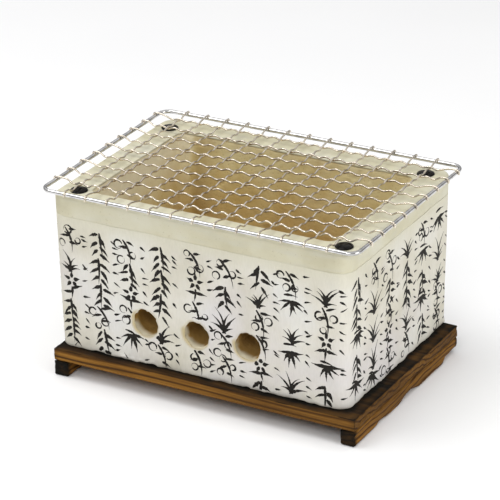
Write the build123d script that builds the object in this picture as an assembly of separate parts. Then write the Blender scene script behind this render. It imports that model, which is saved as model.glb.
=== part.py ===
from build123d import *

import math
import os

# Tabletop charcoal grill (hibachi), in millimetres. +X is to the right, +Z is up and the air
# holes face -Y. The origin is on the ground, below the middle of the grill's bounding box.

# Woven wire net
NET_LENGTH = 230.0  # X, between the centre lines of the frame wire
NET_DEPTH = 159.0  # Y, between the centre lines of the frame wire
NET_Y = 0.825
NET_Z = 132.2  # centre plane of the net
FRAME_WIRE = 2.8
FRAME_BEND = 7.5
WEAVE_WIRE = 1.25
MESH = 16.0  # from one wire to the next, both ways
LONG_WIRES = 9
CROSS_WIRES = 13
FRONT_MARGIN = 19.6  # frame's front wire to the first long wire
LONG_CREST = 0.66  # how far the crimps stand off the net's centre plane
FRONT_CREST = 0.9  # first long wire, which is crimped more
CROSS_CREST = 0.62
CRIMP_BEND = 4.0
HALF_WAVE = MESH / 3  # one and a half crimps between neighbouring crossings
HOOK_GAP = 0.03
HOOK_ANGLE = 120.0  # how far a wire end wraps over the frame and down its outside
HOOK_RUN = 3.5  # level stretch in front of each hook
RAMP = 2.8  # shortest climb from the last crimp to the hook

# Firebox: a diatomite casting, with a cream coat on top and paper round the sides
BODY_LENGTH = 215.5  # at its base, skins included
BODY_DEPTH = 151.5
BODY_HEIGHT = 108.8
BODY_X = -0.5
BODY_Y = 0.775
BODY_DRAFT = 1.05  # degrees, wider towards the top
BODY_CORNER = 9.0
BODY_FOOT_ROUND = 1.5
BODY_TOP_ROUND = 1.6
SKIN = 0.6  # thickness of the coat and of the pasted paper
COAT_BAND = 12.8  # how far the coat comes down the sides
PAPER_TUCK = 12.0  # paper folded in below the body
CAVITY_LENGTH = 179.5  # at the top
CAVITY_DEPTH = 118.0
CAVITY_X = 0.5  # cast by hand, so slightly off the body's middle
CAVITY_Y = -1.0
CAVITY_CORNER = 6.0
CAVITY_DRAFT = 6.0  # degrees, narrower towards the floor
CAVITY_FOOT_ROUND = 4.0
FLOOR_THICKNESS = 20.0
HOLE_RADIUS = 9.0
HOLE_TEAR = 0.6  # how much wider the paper is torn than the hole
HOLE_PITCH = 38.0
HOLE_X = -2.0  # middle hole
HOLE_HEIGHT = 30.5  # above the body's base
HOLES = 3

# Domed studs in the top face, set by hand, so their places are slightly uneven
STUD_PLACES = ((-96.0, -62.0), (99.5, -63.0), (94.5, 65.5), (-99.0, 60.5))
STUD_RADIUS = 6.0
STUD_RIM = 0.4
STUD_HEIGHT = 1.8
SHANK_RADIUS = 1.0
SHANK_LENGTH = 15.0

# Punched plate under the charcoal
GRATE_LENGTH = 151.5
GRATE_DEPTH = 90.0
GRATE_HEIGHT = 26.0
GRATE_SHEET = 1.2
GRATE_BEND = 3.0
GRATE_HOLE_RADIUS = 4.0
GRATE_HOLE_PITCH = 17.0
GRATE_HOLES = (9, 5)

# Wooden stand
BOARD_LENGTH = 226.0
BOARD_DEPTH = 155.0
BOARD_THICKNESS = 9.0
BOARD_X = 4.1
BOARD_ROUND = 1.0
CLEAT_WIDTH = 11.0
CLEAT_HEIGHT = 11.0
CLEAT_ROUND = 1.2
NAIL_LENGTH = 15.0
NAIL_RADIUS = 0.8
NAIL_HEAD_RADIUS = 1.7
NAIL_HEAD_HEIGHT = 0.8
NAIL_SINK = 0.3  # how far a nail head is set into the cleat
NAIL_POINT = 2.0
NAIL_PITCH = 55.0
NAILS_PER_CLEAT = 3
FIT = 0.02  # radial room round nails and stud shanks

BOARD_TOP = CLEAT_HEIGHT + BOARD_THICKNESS
BODY_TOP = BOARD_TOP + BODY_HEIGHT
CAVITY_FLOOR = BOARD_TOP + SKIN + FLOOR_THICKNESS
HOOK_RADIUS = FRAME_WIRE / 2 + WEAVE_WIRE / 2 + HOOK_GAP
NET_REACH_Y = NET_DEPTH / 2 + HOOK_RADIUS + WEAVE_WIRE / 2
BOARD_Y = BOARD_DEPTH / 2 - (NET_Y + NET_REACH_Y)  # board front as far out as the net's back
ON_GROUND = (Align.CENTER, Align.CENTER, Align.MIN)


def cylinder_up(radius, height, x, y, z):
    return Pos(x, y, z) * Cylinder(radius, height, align=ON_GROUND)


# ---------------------------------------------------------------- stand


def nail_places():
    """Axis of each nail, in a row along both cleats."""
    cleat_x = BOARD_LENGTH / 2 - CLEAT_WIDTH / 2
    places = []
    for side in (-1, 1):
        for n in range(NAILS_PER_CLEAT):
            offset = (n - (NAILS_PER_CLEAT - 1) / 2) * NAIL_PITCH
            places.append((BOARD_X + side * cleat_x, BOARD_Y + offset))
    return places


def nail_bores():
    """Room for the nails in the wood, heads included."""
    bores = []
    for x, y in nail_places():
        bores.append(cylinder_up(NAIL_RADIUS + FIT, NAIL_SINK + NAIL_LENGTH + FIT, x, y, 0))
        bores.append(cylinder_up(NAIL_HEAD_RADIUS + FIT, NAIL_SINK + NAIL_HEAD_HEIGHT, x, y, 0))
    return bores


def base_board():
    board = Box(BOARD_LENGTH, BOARD_DEPTH, BOARD_THICKNESS, align=ON_GROUND)
    board = fillet(board.edges(), BOARD_ROUND)
    return Pos(BOARD_X, BOARD_Y, CLEAT_HEIGHT) * board - nail_bores()


def cleat(side):
    """Batten under the board's left (-1) or right (+1) end."""
    batten = Box(CLEAT_WIDTH, BOARD_DEPTH, CLEAT_HEIGHT, align=ON_GROUND)
    batten = fillet(batten.edges().group_by(Axis.Z)[0], CLEAT_ROUND)
    x = BOARD_X + side * (BOARD_LENGTH / 2 - CLEAT_WIDTH / 2)
    return Pos(x, BOARD_Y, 0) * batten - nail_bores()


def cleat_nails():
    shaft_end = NAIL_LENGTH - NAIL_POINT
    outline = Polyline(
        (0, 0),
        (NAIL_HEAD_RADIUS, 0),
        (NAIL_HEAD_RADIUS, NAIL_HEAD_HEIGHT),
        (NAIL_RADIUS, NAIL_HEAD_HEIGHT),
        (NAIL_RADIUS, shaft_end),
        (0, NAIL_LENGTH),
        close=True,
    )
    nail = revolve(Plane.XZ * make_face(outline), Axis.Z)
    return Compound([Pos(x, y, NAIL_SINK) * nail.solid() for x, y in nail_places()])


# ---------------------------------------------------------------- firebox


def body_block(inset):
    """Outer form of the firebox, drawn in by inset on every side."""
    base = RectangleRounded(
        BODY_LENGTH - 2 * inset, BODY_DEPTH - 2 * inset, BODY_CORNER - inset
    )
    block = extrude(base, BODY_HEIGHT - 2 * inset, taper=-BODY_DRAFT)
    levels = block.edges().group_by(Axis.Z)
    block = fillet(levels[0], BODY_FOOT_ROUND - inset)
    block = fillet(block.edges().group_by(Axis.Z)[-1], BODY_TOP_ROUND - inset)
    return Pos(BODY_X, BODY_Y, BOARD_TOP + inset) * block


def cavity():
    """Charcoal space, open at the top."""
    slope = math.tan(math.radians(CAVITY_DRAFT))
    outlines = []
    for above_floor in (0, BODY_TOP + 1 - CAVITY_FLOOR):
        inset = 2 * slope * (BODY_TOP - CAVITY_FLOOR - above_floor)
        outline = RectangleRounded(CAVITY_LENGTH - inset, CAVITY_DEPTH - inset, CAVITY_CORNER)
        outlines.append(Pos(0, 0, above_floor) * outline)
    hollow = loft(outlines, ruled=True)
    hollow = fillet(hollow.edges().group_by(Axis.Z)[0], CAVITY_FOOT_ROUND)
    return Pos(CAVITY_X, CAVITY_Y, CAVITY_FLOOR) * hollow


def air_holes(radius):
    """Round passages through the front wall."""
    hole = Rot(90, 0, 0) * Cylinder(radius, BODY_DEPTH / 2, align=ON_GROUND)
    first = HOLE_X - (HOLES - 1) / 2 * HOLE_PITCH
    height = BOARD_TOP + HOLE_HEIGHT
    behind_wall = CAVITY_Y - CAVITY_DEPTH / 2 + 2 * CAVITY_CORNER
    return [Pos(first + n * HOLE_PITCH, behind_wall, height) * hole for n in range(HOLES)]


def shank_bores():
    bore_height = SHANK_LENGTH + FIT
    return [
        cylinder_up(SHANK_RADIUS + FIT, bore_height, x, y, BODY_TOP - bore_height)
        for x, y in STUD_PLACES
    ]


def firebox():
    return body_block(SKIN) - cavity() - air_holes(HOLE_RADIUS) - shank_bores()


def skin(below, above):
    """Layer on the outside of the casting, between two heights."""
    layer = body_block(0) - body_block(SKIN)
    slab = Box(2 * BODY_LENGTH, 2 * BODY_DEPTH, above - below, align=ON_GROUND)
    return layer & (Pos(0, 0, below) * slab)


def rim_coat():
    coat = skin(BODY_TOP - COAT_BAND, BODY_TOP + 1)
    return coat - cavity() - shank_bores()


def paper_wrap():
    paper = skin(BOARD_TOP - 1, BODY_TOP - COAT_BAND)
    bare = Box(
        BODY_LENGTH - 2 * PAPER_TUCK, BODY_DEPTH - 2 * PAPER_TUCK, 4 * SKIN
    )
    return paper - Pos(BODY_X, BODY_Y, BOARD_TOP) * bare - air_holes(HOLE_RADIUS + HOLE_TEAR)


def corner_studs():
    rim = (STUD_RADIUS, STUD_RIM)
    crown = (0, STUD_HEIGHT)
    dome_radius = (STUD_RADIUS**2 + (STUD_HEIGHT - STUD_RIM) ** 2) / (2 * (STUD_HEIGHT - STUD_RIM))
    outline = Line((0, -SHANK_LENGTH), (SHANK_RADIUS, 2 - SHANK_LENGTH))
    outline += Line((SHANK_RADIUS, 2 - SHANK_LENGTH), (SHANK_RADIUS, 0))
    outline += Line((SHANK_RADIUS, 0), (STUD_RADIUS, 0))
    outline += Line((STUD_RADIUS, 0), rim)
    outline += RadiusArc(rim, crown, -dome_radius)
    outline += Line(crown, (0, -SHANK_LENGTH))
    stud = revolve(Plane.XZ * make_face(outline), Axis.Z)
    return Compound([Pos(x, y, BODY_TOP) * stud.solid() for x, y in STUD_PLACES])


def charcoal_grate():
    """Flat plate with its two short edges folded down as legs."""
    upright = (Align.CENTER, Align.MIN)
    outer = Rectangle(GRATE_LENGTH, GRATE_HEIGHT, align=upright)
    outer = fillet(outer.vertices().group_by(Axis.Y)[-1], GRATE_BEND)
    inner = Rectangle(GRATE_LENGTH - 2 * GRATE_SHEET, GRATE_HEIGHT - GRATE_SHEET, align=upright)
    inner = fillet(inner.vertices().group_by(Axis.Y)[-1], GRATE_BEND - GRATE_SHEET)
    folded = extrude(Plane.XZ * (outer - inner), GRATE_DEPTH / 2, both=True)
    punches = GridLocations(GRATE_HOLE_PITCH, GRATE_HOLE_PITCH, *GRATE_HOLES)
    holes = [
        spot * Pos(0, 0, GRATE_HEIGHT) * Cylinder(GRATE_HOLE_RADIUS, 4 * GRATE_SHEET)
        for spot in punches
    ]
    return Pos(CAVITY_X, CAVITY_Y, CAVITY_FLOOR) * (folded - holes)


# ---------------------------------------------------------------- woven net


def round_bar(path, diameter):
    start = Plane(origin=path @ 0, z_dir=path % 0)
    return sweep(start * Circle(diameter / 2), path=path)


def net_frame():
    loop = RectangleRounded(NET_LENGTH, NET_DEPTH, FRAME_BEND).wire()
    return Pos(0, NET_Y, NET_Z) * round_bar(loop, FRAME_WIRE)


def corner_height(crest):
    """Height of the zigzag's corners that leaves rounded crests at the wanted height."""
    bend = (2 * CRIMP_BEND / HALF_WAVE) ** 2 - 1
    below = CRIMP_BEND - crest
    return (below - math.sqrt(below**2 - bend * (CRIMP_BEND**2 - below**2))) / bend


def end_run(gap, side, height):
    """Corners from the last crossing out to the frame and up over it."""
    waves = int((gap - HOOK_RUN - RAMP) / HALF_WAVE)
    corners = [(n * HALF_WAVE, side * height * (-1) ** n) for n in range(1, waves + 1)]
    return corners + [(gap - HOOK_RUN, HOOK_RADIUS), (gap, HOOK_RADIUS)]


def woven_wire(crossings, ends, side, crest):
    """Crimped wire in its own upright plane: over (+1) or under (-1) at the first crossing."""
    height = corner_height(crest)
    last_side = side * (-1) ** (len(crossings) - 1)
    head = end_run(crossings[0] - ends[0], side, height)
    tail = end_run(ends[1] - crossings[-1], last_side, height)
    half_waves = 3 * (len(crossings) - 1)
    corners = [(crossings[0] - s, z) for s, z in reversed(head)]
    for n in range(half_waves + 1):
        corners.append((crossings[0] + n * HALF_WAVE, side * height * (-1) ** n))
    corners += [(crossings[-1] + s, z) for s, z in tail]
    turn = HOOK_ANGLE
    first_hook = CenterArc((ends[0], 0), HOOK_RADIUS, 90 + turn, -turn)
    last_hook = CenterArc((ends[1], 0), HOOK_RADIUS, 90, -turn)
    run = FilletPolyline(*corners, radius=CRIMP_BEND)
    path = Wire(first_hook.edges() + run.edges() + last_hook.edges())
    return round_bar(path, WEAVE_WIRE)


def wire_rows(count, start):
    return [start + n * MESH for n in range(count)]


def net_wires():
    """Every woven wire by node name."""
    rows = wire_rows(LONG_WIRES, NET_Y - NET_DEPTH / 2 + FRONT_MARGIN)
    columns = wire_rows(CROSS_WIRES, -(CROSS_WIRES - 1) / 2 * MESH)
    long_ends = (-NET_LENGTH / 2, NET_LENGTH / 2)
    cross_ends = (NET_Y - NET_DEPTH / 2, NET_Y + NET_DEPTH / 2)
    long_kinds = {side: woven_wire(columns, long_ends, side, LONG_CREST) for side in (1, -1)}
    cross_kinds = {side: woven_wire(rows, cross_ends, side, CROSS_CREST) for side in (1, -1)}
    front_kind = woven_wire(columns, long_ends, 1, FRONT_CREST)
    wires = {}
    for n, y in enumerate(rows):
        plane = Plane(origin=(0, y, NET_Z), x_dir=(1, 0, 0), z_dir=(0, -1, 0))
        kind = long_kinds[(-1) ** n] if n else front_kind
        wires[f"long_wire_{n + 1:02d}"] = plane * kind
    for n, x in enumerate(columns):
        plane = Plane(origin=(x, 0, NET_Z), x_dir=(0, 1, 0), z_dir=(1, 0, 0))
        wires[f"cross_wire_{n + 1:02d}"] = plane * cross_kinds[-((-1) ** n)]
    return wires


parts = {
    "base_board": base_board(),
    "left_cleat": cleat(-1),
    "right_cleat": cleat(1),
    "cleat_nails": cleat_nails(),
    "firebox": firebox(),
    "rim_coat": rim_coat(),
    "paper_wrap": paper_wrap(),
    "corner_studs": corner_studs(),
    "charcoal_grate": charcoal_grate(),
    "net_frame": net_frame(),
    **net_wires(),
}

os.makedirs("parts", exist_ok=True)
for name, shape in parts.items():
    export_step(shape, f"parts/{name}.step")
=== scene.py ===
import itertools
import math

import bmesh
import bpy
import numpy as np
from mathutils import Matrix, Vector


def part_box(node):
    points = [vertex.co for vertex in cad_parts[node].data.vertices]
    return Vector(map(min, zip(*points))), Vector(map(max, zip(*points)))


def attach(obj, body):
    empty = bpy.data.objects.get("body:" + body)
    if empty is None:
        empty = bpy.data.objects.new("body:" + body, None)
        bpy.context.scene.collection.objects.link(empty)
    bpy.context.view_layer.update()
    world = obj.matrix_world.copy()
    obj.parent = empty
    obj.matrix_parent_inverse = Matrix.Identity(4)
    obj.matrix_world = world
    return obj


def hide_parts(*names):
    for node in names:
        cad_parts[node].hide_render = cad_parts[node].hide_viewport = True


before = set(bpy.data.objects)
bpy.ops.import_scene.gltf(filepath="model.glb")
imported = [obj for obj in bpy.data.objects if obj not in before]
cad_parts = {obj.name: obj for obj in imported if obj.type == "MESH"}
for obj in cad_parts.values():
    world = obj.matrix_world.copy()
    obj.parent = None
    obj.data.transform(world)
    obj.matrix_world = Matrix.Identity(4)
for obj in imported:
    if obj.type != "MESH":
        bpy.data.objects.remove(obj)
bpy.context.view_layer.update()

# Tabletop charcoal grill. Everything is in metres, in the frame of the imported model:
# +X to the right, +Z up, the air holes in the wall that faces -Y.

MM = 0.001

# ---- places, from the frame

PAPER_LOW, PAPER_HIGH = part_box("paper_wrap")
COAT_LOW, COAT_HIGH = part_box("rim_coat")
GRATE_LOW, GRATE_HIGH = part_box("charcoal_grate")

DRAFT = math.tan(math.radians(1.05))  # the body widens towards the top
CORNER = 9 * MM
FOOT_ROUND = 0.7 * MM  # the paper is folded sharply under
TOP_ROUND = 1.6 * MM
CAVITY_LENGTH = 179.5 * MM
CAVITY_DEPTH = 118 * MM
CAVITY_CORNER = 6 * MM
CAVITY_CENTRE = (GRATE_LOW + GRATE_HIGH) / 2  # the grate stands in the middle of it
BODY_FOOT = PAPER_LOW.z
BODY_TOP = COAT_HIGH.z
BAND = PAPER_HIGH.z  # where the paper ends and the coat begins
BODY_CENTRE = (PAPER_LOW + PAPER_HIGH) / 2
HALF_X = (PAPER_HIGH.x - PAPER_LOW.x) / 2 - (BAND - BODY_FOOT) * DRAFT  # at the foot
HALF_Y = (PAPER_HIGH.y - PAPER_LOW.y) / 2 - (BAND - BODY_FOOT) * DRAFT

HOLE_RADIUS = 9.6 * MM
HOLE_HEIGHT = BODY_FOOT + 30.5 * MM
HOLE_PLACES = [BODY_CENTRE.x + x * MM for x in (-39.5, -1.5, 36.5)]
FRONT = BODY_CENTRE.y - HALF_Y  # the front wall's outside, at its foot


def from_hole(points, x):
    """Across, up and straight distances of points from the axis of the air hole at x."""
    across, up = points[:, 0] - x, points[:, 2] - HOLE_HEIGHT
    return across, up, np.hypot(across, up)


def at_front(points):
    """Which points lie on the front wall's outside."""
    return points[:, 1] < FRONT + 5 * MM


# ---- noise

TINY = 1e-6  # keeps a division from meeting zero

# odd multipliers that scatter neighbouring places and seeds
SCATTER = (0x9E3779B97F4A7C15, 0xC2B2AE3D27D4EB4F, 0x165667B19E3779F9)
SEED_SCATTER, SEED_START = 0x27D4EB2F, 0x85EBCA6B
SCRAMBLE = 0xBF58476D1CE4E5B9
LOW_BITS, HALF_RANGE = 0xFFFFFF, 0x7FFFFF


def lattice(cell, seed):
    """A value from -1 to 1 for each whole-numbered place."""
    keys = cell.astype(np.int64).astype(np.uint64)
    mix = np.full(len(keys), seed * SEED_SCATTER + SEED_START, np.uint64)
    for axis, factor in enumerate(SCATTER):
        mix ^= keys[:, axis] * np.uint64(factor)
    mix ^= mix >> np.uint64(29)
    mix *= np.uint64(SCRAMBLE)
    mix ^= mix >> np.uint64(32)
    return (mix & np.uint64(LOW_BITS)).astype(float) / HALF_RANGE - 1


def noise(points, size, seed):
    """Smooth noise from -1 to 1, with features about size across. size may differ by axis."""
    spots = np.asarray(points, float).reshape(-1, 3) / np.asarray(size, float)
    cell = np.floor(spots)
    part = spots - cell
    part = part * part * (3 - 2 * part)
    total = np.zeros(len(spots))
    for corner in itertools.product((0, 1), repeat=3):
        weight = np.prod(np.where(corner, part, 1 - part), axis=1)
        total += weight * lattice(cell + np.array(corner), seed)
    return total


def rough(points, size, seed, octaves=3):
    """Noise with finer and fainter layers on top."""
    total = np.zeros(np.asarray(points).reshape(-1, 3).shape[0])
    for n in range(octaves):
        total += noise(points, np.asarray(size, float) / 2**n, seed + n) / 2**n
    return total / (2 - 0.5 ** (octaves - 1))


def smooth_step(value, low, high):
    """0 below low, 1 above high and an even S between them."""
    part = np.clip((value - low) / (high - low), 0, 1)
    return part * part * (3 - 2 * part)


# ---- mesh helpers


def new_object(name, data):
    made = bpy.data.objects.new(name, data)
    bpy.context.scene.collection.objects.link(made)
    return made


def new_piece(name, points, faces, body, material, replaces=()):
    """A smooth-shaded mesh that rides on a CAD body."""
    mesh = bpy.data.meshes.new(name)
    mesh.from_pydata([tuple(p) for p in points], [], faces)
    mesh.validate()
    work = bmesh.new()
    work.from_mesh(mesh)
    bmesh.ops.recalc_face_normals(work, faces=work.faces)
    work.to_mesh(mesh)
    work.free()
    mesh.polygons.foreach_set("use_smooth", [True] * len(mesh.polygons))
    mesh.materials.append(material)
    piece = new_object(name, mesh)
    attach(piece, body)
    if replaces:
        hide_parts(*replaces)
    return piece


def apply_modifiers(piece):
    graph = bpy.context.evaluated_depsgraph_get()
    mesh = bpy.data.meshes.new_from_object(piece.evaluated_get(graph))
    piece.modifiers.clear()
    piece.data = mesh


def vertex_array(mesh, kind="co"):
    """Places of a mesh's vertices, or their normals where kind is "normal"."""
    flat = np.zeros(len(mesh.vertices) * 3)
    mesh.vertices.foreach_get(kind, flat)
    return flat.reshape(-1, 3)


def store(mesh, label, values):
    """Keeps a value from 0 to 1 on each point, which a material reads."""
    attribute = mesh.attributes.new(label, "FLOAT", "POINT")
    attribute.data.foreach_set("value", np.clip(values, 0, 1).astype(np.float32))


def band_faces(rows, columns, closed_up=False):
    """Quads of a surface whose rows are closed loops; closed_up joins the last row to the first."""
    faces = []
    for r in range(rows if closed_up else rows - 1):
        row, above = r * columns, (r + 1) % rows * columns
        for c in range(columns):
            right = (c + 1) % columns
            faces.append((row + c, row + right, above + right, above + c))
    return faces


# ---- round the body

PER_LONG, PER_SHORT, PER_CORNER = 176, 116, 14  # points along the sides and round a corner


def outline(half_x, half_y, radius):
    """Points and outward normals round a rounded rectangle, anticlockwise from mid-back."""
    flat_x, flat_y = half_x - radius, half_y - radius
    sides = (
        ((0, half_y), (-flat_x, half_y), PER_LONG // 2),
        ((-half_x, flat_y), (-half_x, -flat_y), PER_SHORT),
        ((-flat_x, -half_y), (flat_x, -half_y), PER_LONG),
        ((half_x, -flat_y), (half_x, flat_y), PER_SHORT),
        ((flat_x, half_y), (0, half_y), PER_LONG // 2),
    )
    points, normals = [], []
    for quarter, (start, end, count) in enumerate(sides, 1):
        start, end = np.array(start), np.array(end)
        angles = np.radians(90 * quarter + 90 * np.arange(PER_CORNER) / PER_CORNER)
        ways = np.stack((np.cos(angles), np.sin(angles)), axis=1)
        points.extend(start + (end - start) * n / count for n in range(count))
        normals.extend([ways[0]] * count)
        if quarter < len(sides):
            points.extend(end + radius * (ways - ways[0]))
            normals.extend(ways)
    return np.array(points), np.array(normals)


def on_body(line, normals, lift, z):
    """Points of an outline at height z, moved out by lift and by the draft."""
    out = lift + (z - BODY_FOOT) * DRAFT
    ring = np.zeros((len(line), 3))
    ring[:, :2] = line + normals * out + np.array((BODY_CENTRE.x, BODY_CENTRE.y))
    ring[:, 2] = z
    return ring


# ---- materials


def linear(red, green, blue):
    """Linear colour from 8-bit screen values."""
    parts = [c / 255 for c in (red, green, blue)]
    return [c / 12.92 if c <= 0.04045 else ((c + 0.055) / 1.055) ** 2.4 for c in parts] + [1.0]


def set_stops(ramp, stops):
    """Colours at places along a colour ramp."""
    ramp.elements[0].position, ramp.elements[0].color = stops[0]
    ramp.elements[1].position, ramp.elements[1].color = stops[-1]
    for place, colour in stops[1:-1]:
        ramp.elements.new(place).color = colour


NOISE_LOW, NOISE_HIGH = 0.3, 0.7  # where most of a noise node's values lie
MIX_FIRST, MIX_SECOND, MIX_RESULT = 6, 7, 2  # the Mix node's sockets for colours


class Shader:
    """A material and its nodes."""

    def __init__(self, name, **inputs):
        self.material = bpy.data.materials.new(name)
        self.material.use_nodes = True
        self.nodes = self.material.node_tree.nodes
        self.links = self.material.node_tree.links
        self.surface = self.nodes["Principled BSDF"]
        for label, value in inputs.items():
            self.surface.inputs[label.replace("_", " ")].default_value = value
        self.place = self.nodes.new("ShaderNodeTexCoord").outputs["Object"]

    def node(self, kind, **inputs):
        node = self.nodes.new(kind)
        for label, value in inputs.items():
            self.feed(value, node.inputs[label.replace("_", " ")])
        return node

    def feed(self, value, socket):
        if isinstance(value, bpy.types.NodeSocket):
            self.links.new(value, socket)
        else:
            socket.default_value = value

    def stretched(self, x, y, z):
        """Object coordinates multiplied by x, y and z."""
        return self.node("ShaderNodeMapping", Vector=self.place, Scale=(x, y, z)).outputs["Vector"]

    def cloud(self, scale, detail, place=None, distortion=0.0):
        """Noise with scale features to the metre and detail finer layers."""
        settings = dict(Scale=scale, Detail=detail, Roughness=0.55, Distortion=distortion)
        node = self.node("ShaderNodeTexNoise", Vector=place or self.place, **settings)
        return node.outputs["Fac"]

    def ramp(self, value, *stops):
        """Colours at places along a value."""
        node = self.node("ShaderNodeValToRGB", Fac=value)
        set_stops(node.color_ramp, stops)
        return node.outputs["Color"]

    def tints(self, value, *colours):
        """8-bit colours evenly spread over the middle of a noise."""
        places = np.linspace(NOISE_LOW, NOISE_HIGH, len(colours))
        return self.ramp(value, *[(p, linear(*c)) for p, c in zip(places, colours)])

    def between(self, value, low, high, to_low=0.0, to_high=1.0):
        """Maps low and high to to_low and to_high, and keeps to that range."""
        node = self.node("ShaderNodeMapRange")
        self.feed(value, node.inputs["Value"])
        limits = {"From Min": low, "From Max": high, "To Min": to_low, "To Max": to_high}
        for label, number in limits.items():
            node.inputs[label].default_value = number
        return node.outputs["Result"]

    def mix(self, share, first, second, mode="MIX"):
        node = self.nodes.new("ShaderNodeMix")
        node.data_type = "RGBA"
        node.blend_type = mode
        self.feed(share, node.inputs["Factor"])
        self.feed(first, node.inputs[MIX_FIRST])
        self.feed(second, node.inputs[MIX_SECOND])
        return node.outputs[MIX_RESULT]

    def sums(self, operation, first, second):
        node = self.nodes.new("ShaderNodeMath")
        node.operation = operation
        self.feed(first, node.inputs[0])
        self.feed(second, node.inputs[1])
        return node.outputs[0]

    def plus(self, first, second):
        return self.sums("ADD", first, second)

    def times(self, first, second):
        return self.sums("MULTIPLY", first, second)

    def axis(self, name):
        return self.node("ShaderNodeSeparateXYZ", Vector=self.place).outputs[name]

    def stored(self, label):
        """A value that store() kept on the mesh."""
        node = self.node("ShaderNodeAttribute")
        node.attribute_name = label
        return node.outputs["Fac"]

    def colour(self, value):
        self.feed(value, self.surface.inputs["Base Color"])

    def roughness(self, noise, low, high):
        """Roughness from low to high, which follows a noise."""
        value = self.between(noise, NOISE_LOW, NOISE_HIGH, low, high)
        self.feed(value, self.surface.inputs["Roughness"])

    def bump(self, height, distance, strength=1.0):
        """Adds a layer of bump; layers stack."""
        node = self.node("ShaderNodeBump", Height=height)
        node.inputs["Distance"].default_value = distance
        node.inputs["Strength"].default_value = strength
        normal = self.surface.inputs["Normal"]
        if normal.is_linked:
            self.links.new(normal.links[0].from_socket, node.inputs["Normal"])
        self.links.new(node.outputs["Normal"], normal)


def paper_material():
    shader = Shader("pasted_paper", Specular_IOR_Level=0.2)
    patches = shader.cloud(24, 4)
    tints = shader.cloud(13, 3, distortion=0.6)
    fibres = shader.cloud(900, 6, place=shader.stretched(1, 1, 0.25))
    base = shader.tints(patches, (208, 203, 186), (222, 218, 206), (227, 226, 220))
    cool = shader.between(tints, 0.5, 0.68, 0.0, 0.6)
    base = shader.mix(cool, base, linear(214, 209, 211))
    height = shader.axis("Z")
    towards_band = shader.between(height, BAND - 14 * MM, BAND + 2 * MM)
    base = shader.mix(towards_band, base, linear(215, 211, 190))
    # painted shade: the paper turns darker over its last 2 mm above the board, where it meets the
    # board
    painted_foot_shade = shader.between(height, BODY_FOOT + 2 * MM, BODY_FOOT)
    base = shader.mix(painted_foot_shade, base, linear(196, 190, 176))
    tone = shader.ramp(fibres, (0.3, (0.93, 0.93, 0.92, 1)), (0.7, (1, 1, 1, 1)))
    base = shader.mix(1.0, base, tone, "MULTIPLY")
    torn = shader.stored("torn")
    shader.colour(shader.mix(torn, base, linear(193, 178, 140)))
    shader.roughness(fibres, 0.74, 0.9)
    shader.bump(fibres, 0.08 * MM, 0.6)
    shader.bump(shader.cloud(260, 4), 0.15 * MM, 0.6)
    return shader.material


def ink_material():
    shader = Shader("brushed_ink", Specular_IOR_Level=0.25)
    dry = shader.cloud(650, 5)
    wet, thin, bare = linear(22, 20, 17), linear(38, 34, 28), linear(84, 78, 66)
    shader.colour(shader.ramp(dry, (0.4, wet), (0.62, thin), (0.8, bare)))
    shader.roughness(dry, 0.6, 0.85)
    shader.bump(dry, 0.03 * MM, 0.5)
    return shader.material


def coat_material():
    shader = Shader("cream_coat", Specular_IOR_Level=0.15)
    patches = shader.cloud(30, 5)
    streaks = shader.cloud(60, 4, place=shader.stretched(0.5, 1, 3))
    grains = shader.cloud(1400, 5)
    base = shader.tints(patches, (196, 190, 162), (207, 202, 176), (214, 211, 192))
    base = shader.mix(shader.between(streaks, 0.5, 0.7, 0.0, 0.5), base, linear(203, 201, 186))
    specks = shader.between(shader.cloud(700, 2), 0.66, 0.74)
    base = shader.mix(shader.times(specks, 0.5), base, linear(172, 162, 132))
    shader.colour(base)
    shader.roughness(grains, 0.8, 0.95)
    shader.bump(grains, 0.1 * MM, 0.6)
    shader.bump(shader.cloud(180, 4), 0.3 * MM, 0.5)
    return shader.material


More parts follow.
